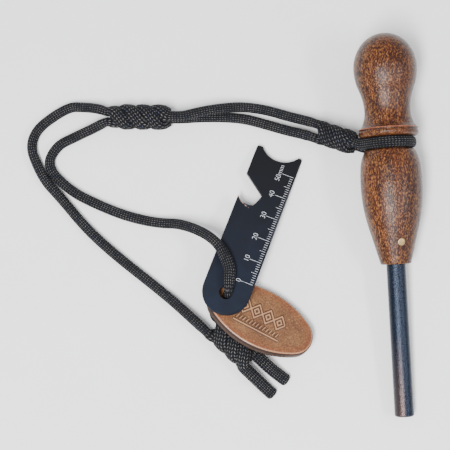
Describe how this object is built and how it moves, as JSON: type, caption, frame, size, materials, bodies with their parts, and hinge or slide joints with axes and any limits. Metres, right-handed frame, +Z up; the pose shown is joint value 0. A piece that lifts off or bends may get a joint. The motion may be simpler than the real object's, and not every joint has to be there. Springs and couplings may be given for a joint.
{
  "type": "fire steel",
  "caption": "Ferrocerium rod in a turned wooden handle, with a braided lanyard that carries a flat notched striker and an oval leather fob.",
  "frame": {"origin": "middle of the footprint of the handle, rod, striker and fob, on the surface they lie on", "axes": "+Z up, +Y along the handle towards its bulb, seen from above, -X towards the loop of the lanyard"},
  "size_m": [0.1651, 0.1582, 0.0306],
  "materials": {
    "wood": "turned, satin varnish",
    "ferrocerium": "as cast, dark grey",
    "brass": "filed flush",
    "coated_steel": "black coating, white scale",
    "leather": "vegetable tanned, burnished edge",
    "cord": "braided"
  },
  "bodies": {
    "handle": {"handle_wood": "wood", "ferro_rod": "ferrocerium", "brass_pin": "brass"},
    "lanyard": {"lanyard_noose": "cord", "knot_at_handle": "cord", "cord_pair_upper": "cord", "cord_pair_lower": "cord", "knot_middle": "cord", "cord_outer": "cord", "cord_inner": "cord", "cord_through_eyes": "cord", "knot_end": "cord", "cord_tail_long": "cord", "cord_tail_short": "cord"},
    "striker": {"striker_plate": "coated_steel"},
    "fob": {"leather_fob": "leather"}
  },
  "joints": [
    {"name": "lanyard_swivel", "type": "hinge", "parent": "handle", "child": "lanyard", "pos_m": [0.03371, 0.03344, 0.01458], "axis": [0, 0.9955, 0.0944], "continuous": true},
    {"name": "striker_swing", "type": "hinge", "parent": "lanyard", "child": "striker", "pos_m": [-0.03705, -0.02477, 0.01391], "axis": [0.0728, 0.165, 0.9836], "range_deg": [-32, 4]},
    {"name": "fob_swing", "type": "hinge", "parent": "lanyard", "child": "fob", "pos_m": [-0.037, -0.02569, 0.00966], "axis": [0.2357, 0.2911, 0.9272], "range_deg": [-130, 0]}
  ]
}
